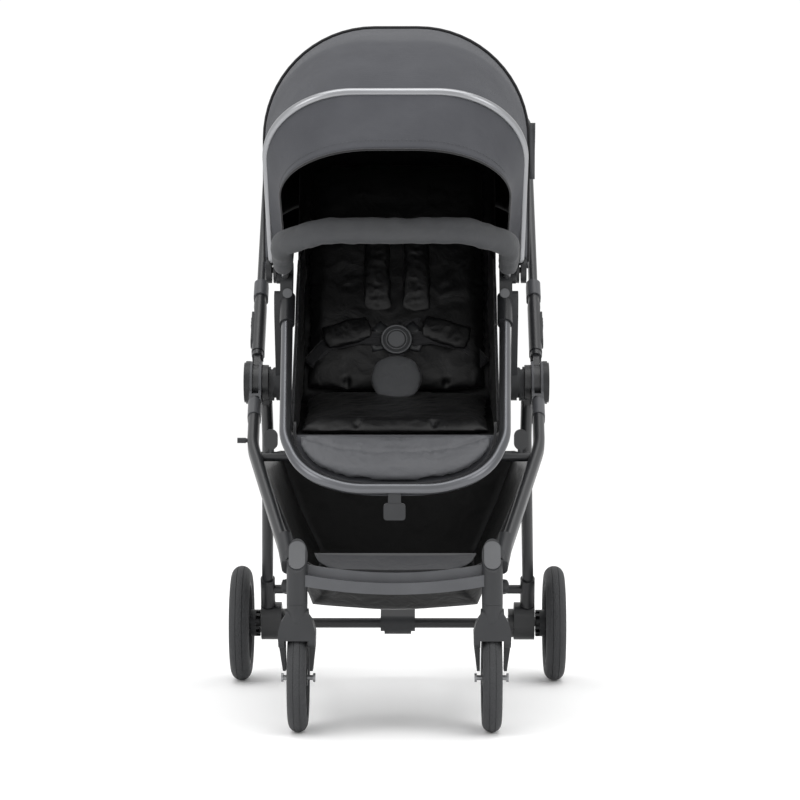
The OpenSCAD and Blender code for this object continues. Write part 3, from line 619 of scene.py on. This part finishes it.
# the rear flap closes the canopy down to the seat back
flap = {"rows": 14, "sag": 16, "backHeight": 320, "thick": 1.6}
flapOuter = bowPath(canopy["radius"] - 3, canopyHalf - 3, canopy["corner"], rearEnd - 0.6, 40)
flapShoulder = crease + backUp * flap["backHeight"] * mm - backOut * 9 * mm
flapGrid = []
for r in range(flap["rows"] + 1):
    share = r / flap["rows"]
    row = []
    for i, p in enumerate(flapOuter):
        reach = min(1, max(0, (p.y - flapOuter[0].y) / (flapShoulder.y + 0.03 - flapOuter[0].y)))
        inner = flapOuter[0].lerp(flapShoulder, reach)
        inner.x = math.copysign(min(abs(p.x), (layout["innerHalf"] + 5) * mm), p.x)
        q = p.lerp(inner, share)
        q.z -= (
            math.sin(math.pi * share) * flap["sag"] * mm * reach
            + wander(q, 14, 4.0) * 2 * mm * math.sin(math.pi * share)
        )
        row.append(q)
    flapGrid.append(row)
canopyFlap = sheetPiece(
    "canopyRearFlap", flapGrid, flap["thick"] * mm, finishes["canopy_fabric"], liningBlack, None,
)
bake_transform(canopyFlap)

# a plain folded label sewn into the ridge seam
labelSpec = {"low": 152, "high": 246, "stand": 9, "thick": 1.4}
labelUp = side(-math.cos(math.radians(rearStart)), math.sin(math.radians(rearStart))).normalized()
labelGrid = []
for k in range(9):
    low = pivotSide + labelUp * (labelSpec["low"] + (labelSpec["high"] - labelSpec["low"]) * k / 8) * mm
    row = []
    for c in range(5):
        out = labelSpec["stand"] * c / 4
        row.append(low + across(canopyHalf + 2 + out) + side(-2 - 1.5 * math.sin(c * 0.9 + k * 0.4), 0))
    labelGrid.append(row)
sheetPiece(
    "canopyLabel", labelGrid, labelSpec["thick"] * mm, labelCloth, labelCloth, "canopy",
)
print("canopy made")

seatBack = {
    "width": 320, "length": 436, "crown": 15, "base": 6, "round": 0.12, "pull": 0.01, "power": 8, "ripple": 3.0,
    "seed": 3.0, "rippleSize": 13, "puff": 4, "voxel": 6, "cap": 5, "rows": 45, "cols": 37, "fill": 0.5,
}
seatPan = {
    "width": 318, "length": 250, "crown": 16, "base": 3, "round": 0.1, "pull": 0.01, "power": 8, "ripple": 3.0,
    "seed": 8.0, "rippleSize": 19, "puff": 4, "voxel": 6, "cap": 5, "rows": 35, "cols": 37, "fill": 0.5,
}
backPad = padPiece("seatBackPad", seatBack, crease + backUp * 222 * mm - backOut * 1 * mm, backUp, backOut,
                   finishes["liner_fabric"], "seat")
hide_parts("seat_pad")
sew(backPad, [crease + backUp * 205 * mm + backOut * 16 * mm + across(x) for x in (-155, 0, 155)], 5, 2.2, 0.5, 27)
for x in (-84, 84):
    sew(backPad, [crease + backUp * k * mm + backOut * 16 * mm + across(x) for k in (8, 120, 205)], 5, 5, 0.8, 24)
panPad = padPiece("seatPanPad", seatPan, crease + panAlong * 128 * mm, panAlong, panOut,
                  finishes["liner_fabric"], "seat")
for x in (-62, 62):
    sew(panPad, [crease + panAlong * k * mm + panOut * 16 * mm + across(x) for k in (4, 120, 250)], 5, 5, 0.8, 24)

tub = {"thick": 3, "rows": 12, "bulge": 7}


def tubSide(sign):
    # One side panel of the seat, from the pan and back up to the ring
    low = [seatEdge - panOut * 4 * mm, crease.lerp(seatEdge, 0.5) - panOut * 4 * mm, crease - backOut * 4 * mm,
           crease + backUp * 110 * mm - backOut * 4 * mm, crease + backUp * 220 * mm - backOut * 4 * mm,
           crease + backUp * 320 * mm - backOut * 6 * mm]
    high = [socket + ringAlong * 300 * mm - ringOut * 12 * mm, socket + ringAlong * 225 * mm - ringOut * 13 * mm,
            socket + ringAlong * 130 * mm - ringOut * 13 * mm, socket + ringAlong * 55 * mm - ringOut * 14 * mm,
            socket + side(4, 8), socket + side(60, 62)]
    lowPath, highPath = roundedPath(low, 30 * mm, 8 * mm), roundedPath(high, 30 * mm, 8 * mm)
    cols, grid = 64, []
    for r in range(tub["rows"] + 1):
        share = r / tub["rows"]
        row = []
        for c in range(cols + 1):
            t = c / cols
            a, b = lowPath[round(t * (len(lowPath) - 1))], highPath[round(t * (len(highPath) - 1))]
            p = a.lerp(b, share)
            puff = math.sin(math.pi * share) * (tub["bulge"] + 5 * wander(p, 16, 2.0 + sign))
            fold = 2.6 * wander(Vector((p.y * 3, p.z, 0)), 30, 5.0) * math.sin(math.pi * share)
            p.x = sign * (layout["innerHalf"] - 8 - puff + fold + 3 * share) * mm
            row.append(p)
        grid.append(row)
    name = "seatSideRight" if sign > 0 else "seatSideLeft"
    piece = sheetPiece(name, grid, tub["thick"] * mm, finishes["liner_fabric"], finishes["canopy_fabric"], "seat",
                       flip=sign > 0)
    tubePiece(name + "Piping", grid[-1], 2.4 * mm, pipingBlack, "seat")
    return piece


for sign in (-1, 1):
    tubSide(sign)

# the back board and the sling under the pan, seen from behind and below
boardGrid = []
boardLine = roundedPath(
    [seatEdge - panOut * 3 * mm, crease - (panOut + backOut) * 5 * mm, backTop - backOut * 4 * mm], 40 * mm, 12 * mm
)
for i, p in enumerate(boardLine):
    t = i / (len(boardLine) - 1)
    taper = min(1, max(0, (t - 0.9) / 0.1))
    half = layout["innerHalf"] - 2 - 16 * taper**2
    row = []
    for c in range(25):
        s = 2 * c / 24 - 1
        n = panOut.lerp(backOut, min(1, max(0, (t - 0.25) / 0.2)))
        belly = (1 - s * s) * 3 + wander((s * 0.2, p.y, p.z), 16, 7.0) * 2
        row.append(p + across(half * s) - n * belly * mm)
    boardGrid.append(row)
seatBoard = sheetPiece("seatBackBoard", boardGrid, 4 * mm, finishes["canopy_fabric"], finishes["liner_fabric"],
                       "seat", flip=True)
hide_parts("seat_shell")
tubePiece("seatBoardPiping", [r[0] for r in boardGrid] + boardGrid[-1][1:-1] + [r[-1] for r in reversed(boardGrid)],
          2.6 * mm, pipingBlack, "seat")
print("seat made")

footPad = {
    "thick": 3, "drop": 12.5, "rows": 28, "cols": 40, "crown": 13, "inset": 17, "square": 2.7, "begin": 33,
}


def footPoint(s, t, half, deep, start, lift):
    # A point of a rounded tongue: s across from -1 to 1, t from its straight edge to its tip
    reach = max(0, 1 - abs(s) ** footPad["square"]) ** (1 / footPad["square"])
    y = start + (deep * reach - start) * t
    return (
        socket
        + ringAlong * (layout["ringLength"] - layout["footRound"] + y) * mm
        + across(half * s)
        + ringOut * (lift - footPad["drop"]) * mm
    )


slingGrid = [
    [
        footPoint(2 * c / footPad["cols"] - 1, r / 10, layout["ringHalf"] - 1, layout["footRound"] + 1, 22, 0)
        for c in range(footPad["cols"] + 1)
    ]
    for r in range(11)
]
footSling = sheetPiece("footSling", slingGrid, footPad["thick"] * mm, finishes["canopy_fabric"],
                       finishes["canopy_fabric"], "seat", flip=True, weld=True)
footVerts = []
for top in (1, 0):
    for r in range(footPad["rows"] + 1):
        for c in range(footPad["cols"] + 1):
            s, t = 2 * c / footPad["cols"] - 1, r / footPad["rows"]
            edge = (1 - abs(s) ** 6) ** 0.5 * (1 - abs(2 * t - 1) ** 6) ** 0.5
            lift = footPad["thick"] + 1.5 + footPad["crown"] * edge * top
            footVerts.append(
                footPoint(s * (1 - 0.012 * math.cos(t * 3)), t, layout["ringHalf"] - footPad["inset"],
                          layout["footRound"] - footPad["inset"] - 3, footPad["begin"], lift)
            )
footCount = (footPad["rows"] + 1) * (footPad["cols"] + 1)
footFaces = gridFaces(footPad["rows"] + 1, footPad["cols"] + 1)
footFaces += [tuple(i + footCount for i in reversed(f)) for f in footFaces]
# the foot panel's cloth is lightened with painted top light on its upturned face
footPanel = newPiece("footPanel", footVerts, footFaces, paintedTopLightCloth, None, weld=True)
bm = bmesh.new()
bm.from_mesh(footPanel.data)
bmesh.ops.recalc_face_normals(bm, faces=bm.faces)
bm.to_mesh(footPanel.data)
bm.free()
puffUp(footPanel, {"puff": 3, "voxel": 4.5, "cap": 3})
ripple(footPanel, 2.2 * mm, 6.0, 24)
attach(footPanel, "seat")
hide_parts("foot_pad")
footTop = footPad["crown"] + footPad["thick"] + 1
sew(footPanel, [footPoint(s, 0.5 - 0.12 * s * s, layout["ringHalf"] - 22, layout["footRound"] - 24,
                          footPad["begin"], footTop)
                for s in (-0.98, -0.6, -0.2, 0.2, 0.6, 0.98)], 4, 3.2, 0.9, 23)
for x in (-0.07, 0.07):
    sew(footPanel, [footPoint(x, t, layout["ringHalf"] - 22, layout["footRound"] - 24, footPad["begin"], footTop)
                    for t in (0, 0.3, 0.55)], 3.5, 1.8, 0.5, 19)
tubePiece(
    "footPanelPiping",
    [footPoint(math.sin(math.pi / 2 * k / 30), 1, layout["ringHalf"] - footPad["inset"] + 3,
               layout["footRound"] - footPad["inset"] + 1, footPad["begin"], footPad["thick"] + 2)
     for k in range(-30, 31)],
    2.2 * mm, pipingBlack, "seat",
)
print("foot panel made")

harness = {"strap": 25, "strapThick": 1.8}
shoulderPad = {
    "width": 58, "length": 184, "crown": 12, "base": 4, "round": 0.3, "pull": 0.03, "power": 4, "ripple": 2.6,
    "rippleSize": 30, "puff": 4, "voxel": 4, "cap": 4, "rows": 37, "cols": 15, "fill": 0.6,
}
for sign, word in ((-1, "Left"), (1, "Right")):
    shoulderPad["seed"] = 4.0 + sign
    pad = padPiece("shoulderPad" + word, shoulderPad,
                   crease + backUp * 238 * mm + backOut * 17 * mm + across(33 * sign), backUp, backOut,
                   finishes["liner_fabric"], "seat")
    if sign < 0:
        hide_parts("shoulder_pads")
    sew(pad, [crease + backUp * k * mm + backOut * 33 * mm + across(33 * sign) for k in (160, 240, 316)],
        3.5, 2.2, 0.7, 21)
    strap = roundedPath(
        [crease + backUp * 400 * mm + backOut * 12 * mm + across(36 * sign),
         crease + backUp * 390 * mm + backOut * 18 * mm + across(36 * sign),
         crease + backUp * 152 * mm + backOut * 20 * mm + across(33 * sign),
         crease + backUp * 122 * mm + backOut * 26 * mm + across(20 * sign)], 15 * mm, 6 * mm)
    ribbonPiece("shoulderStrap" + word, strap, Vector((1, 0, 0)), harness["strap"] * mm, harness["strapThick"] * mm,
                finishes["webbing"], "seat")
    belt = roundedPath(
        [crease + backUp * 60 * mm + backOut * 14 * mm + across(150 * sign),
         crease + backUp * 92 * mm + backOut * 24 * mm + across(120 * sign),
         crease + backUp * 104 * mm + backOut * 29 * mm + across(60 * sign),
         crease + backUp * 100 * mm + backOut * 28 * mm + across(26 * sign)], 25 * mm, 6 * mm)
    ribbonPiece("waistStrap" + word, belt, backUp, harness["strap"] * mm, harness["strapThick"] * mm,
                finishes["webbing"], "seat")
    if sign < 0:
        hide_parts("harness_straps")
    waist = {"width": 92, "length": 50, "crown": 9, "base": 3, "round": 0.45, "power": 4, "ripple": 2.4,
             "seed": 12.0 + sign, "rippleSize": 32, "puff": 4, "voxel": 4, "cap": 3, "rows": 15, "cols": 25}
    tilt = Matrix.Rotation(math.radians(-16 * sign), 3, backOut)
    padPiece("waistPad" + word, waist, Vector((0, 0, 0)), backUp, backOut, finishes["liner_fabric"], "seat")
    piece = bpy.data.objects["waistPad" + word]
    spot = crease + backUp * 112 * mm + backOut * 24 * mm + across(84 * sign)
    for v in piece.data.vertices:
        v.co = tilt @ v.co + spot
    piece.data.update()
crotchPad = {
    "width": 84, "length": 92, "crown": 11, "base": 3, "round": 0.75, "pull": 0.0, "power": 4, "ripple": 1.6,
    "seed": 2.0, "rippleSize": 30, "puff": 4, "voxel": 4, "cap": 3, "rows": 25, "cols": 23, "fill": 0.7,
}
crotchLow = crease + panAlong * 62 * mm + panOut * 15 * mm
crotchHigh = buckleAt + side(-14, -34)
crotchUp = (crotchHigh - crotchLow).normalized()
crotchOut = quadNormal(crotchUp)
crotch = padPiece("crotchPad", crotchPad, crotchLow.lerp(crotchHigh, 0.5), crotchUp, crotchOut, padGrey, "seat")
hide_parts("crotch_pad")
tubePiece(
    "crotchPadPiping",
    [crotchLow.lerp(crotchHigh, 0.5) + across(41 * math.cos(k * math.pi / 24))
     + crotchUp * 44 * math.sin(k * math.pi / 24) * mm
     + crotchOut * 5 * mm for k in range(48)],
    1.8 * mm, pipingBlack, "seat", closed=True,
)
ribbonPiece("crotchStrap", roundedPath([crotchLow + crotchUp * 30 * mm + crotchOut * 2 * mm,
            crotchHigh - crotchOut * 2 * mm, buckleAt - backUp * 20 * mm - backOut * 8 * mm], 12 * mm, 5 * mm),
            Vector((1, 0, 0)), 25 * mm, 1.8 * mm,
            finishes["webbing"], "seat")
for k, angle in enumerate((38, 142, 192, -12)):
    a = math.radians(angle)
    aim = Vector((1, 0, 0)) * math.cos(a) + backUp * math.sin(a)
    path = [buckleAt - backOut * 8 * mm + aim * r * mm for r in (20, 28, 36, 44)]
    ribbonPiece("buckleTongue%d" % (k + 1), path, aim.cross(backOut), 22 * mm, 4 * mm, finishes["black_plastic"],
                "seat")
# the buckle is black; its rims are drawn in grey plastic as a painted highlight for the gloss on its rings
for label, radius, size, out in (("buckleRim", 24.5, 1.6, 0.2), ("buckleButtonRing", 17.5, 1.1, 0.4)):
    tubePiece(
        label,
        [buckleAt + across(radius * math.cos(k * math.pi / 24)) + backUp * radius * math.sin(k * math.pi / 24) * mm
         + backOut * out * mm for k in range(48)],
        size * mm, finishes["grey_plastic"], "seat", 8, True,
    )
print("harness made")

bumper = {"tall": 42, "deep": 33, "half": 185, "start": (4, 30), "middle": (-200, 104), "from": 0.3, "knee": 0.74}
bumpStart, bumpMiddle = socket + side(*bumper["start"]), socket + side(*bumper["middle"])
bumpFrom, bumpKnee = bumpStart.lerp(bumpMiddle, bumper["from"]), bumpStart.lerp(bumpMiddle, bumper["knee"])
bumpPath = roundedPath(
    [bumpFrom - across(bumper["half"]), bumpKnee - across(bumper["half"]), bumpMiddle - across(bumper["half"] * 0.62),
     bumpMiddle + across(bumper["half"] * 0.62), bumpKnee + across(bumper["half"]), bumpFrom + across(bumper["half"])],
    46 * mm, 3.2 * mm)
bumpVerts, bumpSides = [], 40
bumpAxis = (bumpMiddle - bumpStart).normalized()
bumpTall = quadNormal(bumpAxis) * -1
bumpSeam = []
for i, p in enumerate(bumpPath):
    t = (bumpPath[min(i + 1, len(bumpPath) - 1)] - bumpPath[max(i - 1, 0)]).normalized()
    deepWay = t.cross(bumpTall).normalized()
    ends = min(i, len(bumpPath) - 1 - i)
    close = 1 if ends > 4 else 0.55 + 0.45 * math.sqrt(max(0, 1 - (1 - ends / 4) ** 2))
    gather = 1 + 0.035 * wander(p, 30, 3.0) + 0.02 * math.sin(i * 0.55)
    for k in range(bumpSides):
        a = 2 * math.pi * k / bumpSides
        c, s = math.cos(a), math.sin(a)
        w = math.copysign(abs(c) ** 0.85, c) * bumper["deep"] / 2 * close * gather
        h = math.copysign(abs(s) ** 0.85, s) * bumper["tall"] / 2 * close * gather
        bumpVerts.append(p + deepWay * w * mm + bumpTall * h * mm)
    bumpSeam.append(p - deepWay * bumper["deep"] / 2 * mm)
bumpFaces = gridFaces(len(bumpPath), bumpSides, wrapCols=True)
bumpFaces += [tuple(range(bumpSides))[::-1], tuple((len(bumpPath) - 1) * bumpSides + k for k in range(bumpSides))]
bumperCover = newPiece("bumperCover", bumpVerts, bumpFaces, padGrey, None)
bm = bmesh.new()
bm.from_mesh(bumperCover.data)
bmesh.ops.recalc_face_normals(bm, faces=bm.faces)
bm.to_mesh(bumperCover.data)
bm.free()
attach(bumperCover, "bumper")
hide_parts("bumper_cover")
ripple(bumperCover, 1.6 * mm, 3.0, 40)
sew(bumperCover, bumpSeam, 3.4, 3.2, 1.8, 10)
print("bumper cover made")

basket = {
    "topHalf": 224, "rearHalf": 206, "floorFront": 195, "floorRear": 232, "rim": 418, "front": -379, "rear": 123,
    "frontLow": 229, "frontHigh": 257, "thick": 2.2, "sag": 12, "rows": 14, "floorRows": 8,
}


def basketLoop(points):
    # Half an outline given from the front middle to the rear middle, as a full loop of even points
    half = []
    for (p, q), n in zip(zip(points, points[1:]), (8, 6, 12, 18, 14)):
        half += [p.lerp(q, k / n) for k in range(n)]
    half.append(points[-1])
    mirror = [Vector((-p.x, p.y, p.z)) for p in reversed(half[1:-1])]
    return half + mirror


def low(x, y, z):
    return across(x) + side(y, z)


b = basket
rimLoop = basketLoop([low(0, b["front"], b["frontHigh"]), low(118, b["front"] + 2, b["frontHigh"] + 2),
                      low(150, b["front"] + 34, b["frontHigh"] + 14), low(b["topHalf"], -198, b["rim"] + 6),
                      low(b["rearHalf"], b["rear"] - 4, b["rim"]), low(0, b["rear"], b["rim"] - 4)])
floorLoop = basketLoop([low(0, b["front"] + 12, b["frontLow"]), low(104, b["front"] + 14, b["frontLow"]),
                        low(130, b["front"] + 60, b["floorFront"] + 6), low(136, -200, b["floorFront"] + 6),
                        low(132, b["rear"] - 12, b["floorRear"] + 6), low(0, b["rear"] - 8, b["floorRear"])])
basketGrid = []
for r in range(b["rows"] + 1):
    share = r / b["rows"]
    bend = math.sin(math.pi * share)
    row = []
    for p, q in zip(rimLoop, floorLoop):
        v = p.lerp(q, share**0.9)
        v += Vector((v.x, v.y + 0.12, 0)).normalized() * bend * (4 + 7 * wander(v, 11, 3.0)) * mm
        v.z += wander(v, 20, 6.0) * 2 * mm * bend
        row.append(v)
    basketGrid.append(row)
for r in range(1, b["floorRows"] + 1):
    share = r / b["floorRows"]
    row = []
    for q in floorLoop:
        v = Vector((q.x * (1 - share), q.y, q.z))
        inside = min(1, (q.y - floorLoop[0].y) / 0.08, (b["rear"] * mm - q.y) / 0.08)
        v.z -= b["sag"] * math.sin(math.pi / 2 * share) * max(0, inside) * mm
        row.append(v)
    basketGrid.append(row)
shoppingBasket = sheetPiece("shoppingBasket", basketGrid, b["thick"] * mm, finishes["liner_fabric"],
                            finishes["liner_fabric"], "frame", wrap=True, weld=True)
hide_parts("basket")
tubePiece("basketBinding", rimLoop, 3.2 * mm, pipingBlack, "frame", closed=True)
tubePiece("basketFloorPiping", floorLoop, 2.0 * mm, pipingBlack, "frame", closed=True)

# a pale board lying on the basket floor; its lighter cloth is partly its own grey and partly painted top light
shelf = {
    "rear": -300, "rearHigh": 279, "front": -368, "frontHigh": 252, "half": 130, "rows": 8, "cols": 32, "thick": 1.6,
}
shelfGrid = []
for r in range(shelf["rows"] + 1):
    share, row = r / shelf["rows"], []
    for c in range(shelf["cols"] + 1):
        s = 2 * c / shelf["cols"] - 1
        reach = share * math.sqrt(max(0, 1 - abs(s) ** 2.6))
        y = shelf["rear"] + (shelf["front"] - shelf["rear"]) * reach
        z = shelf["rearHigh"] + (shelf["frontHigh"] - shelf["rearHigh"]) * reach
        row.append(across(shelf["half"] * s) + side(y, z - 1.5 * math.sin(math.pi * share) * (1 - s * s)))
    shelfGrid.append(row)
basketShelf = sheetPiece("basketShelf", shelfGrid, shelf["thick"] * mm, paintedTopLightCloth, finishes["liner_fabric"], "frame",
                         flip=True, weld=True)
print("basket made")

studio = {
    "eye": (0.037, -4.500, 0.665),
    "focal": 118.4,  # for a sensor 36 mm wide
    "down": 1.92,
    "turn": 0.40,
    "world": 1.04,
}


def addCamera():
    data = bpy.data.cameras.new("studioCamera")
    data.lens = studio["focal"]
    data.sensor_width = 36
    data.clip_end = 60
    cam = bpy.data.objects.new("studioCamera", data)
    cam.location = studio["eye"]
    cam.rotation_euler = (math.radians(90 - studio["down"]), 0, math.radians(studio["turn"]))
    bpy.context.scene.collection.objects.link(cam)
    bpy.context.scene.camera = cam


def addSoftbox(name, place, aim, size, power):
    data = bpy.data.lights.new(name, "AREA")
    data.shape = "RECTANGLE"
    data.size, data.size_y = size
    data.energy = power
    lamp = bpy.data.objects.new(name, data)
    lamp.location = place
    lamp.rotation_euler = (Vector(aim) - Vector(place)).to_track_quat("-Z", "Y").to_euler()
    bpy.context.scene.collection.objects.link(lamp)


addCamera()
addSoftbox("overhead", (0, -0.6, 3.2), (0, 0, 0.4), (3.0, 2.4), 46)
addSoftbox("keyLeft", (-2.6, -2.2, 1.9), (0, 0, 0.6), (1.4, 2.0), 24)
addSoftbox("keyRight", (2.6, -2.2, 1.9), (0, 0, 0.6), (1.4, 2.0), 22)

world = bpy.data.worlds.new("studio")
bpy.context.scene.world = world
world.use_nodes = True
world.node_tree.nodes["Background"].inputs["Color"].default_value = (1, 1, 1, 1)
world.node_tree.nodes["Background"].inputs["Strength"].default_value = studio["world"]
bpy.context.scene.view_settings.view_transform = "Standard"

floorMat, floorTree, floorShader, floorCoords = startMaterial(
    "pale floor", {"Base Color": hexColor("#fefefe"), "Roughness": 0.7}
)
floorMesh = bpy.data.meshes.new("floor")
floorMesh.from_pydata([(-12, -12, 0), (12, -12, 0), (12, 16, 0), (-12, 16, 0)], [], [(0, 1, 2, 3)])
floorMesh.materials.append(floorMat)
floor = bpy.data.objects.new("floor", floorMesh)
bpy.context.scene.collection.objects.link(floor)
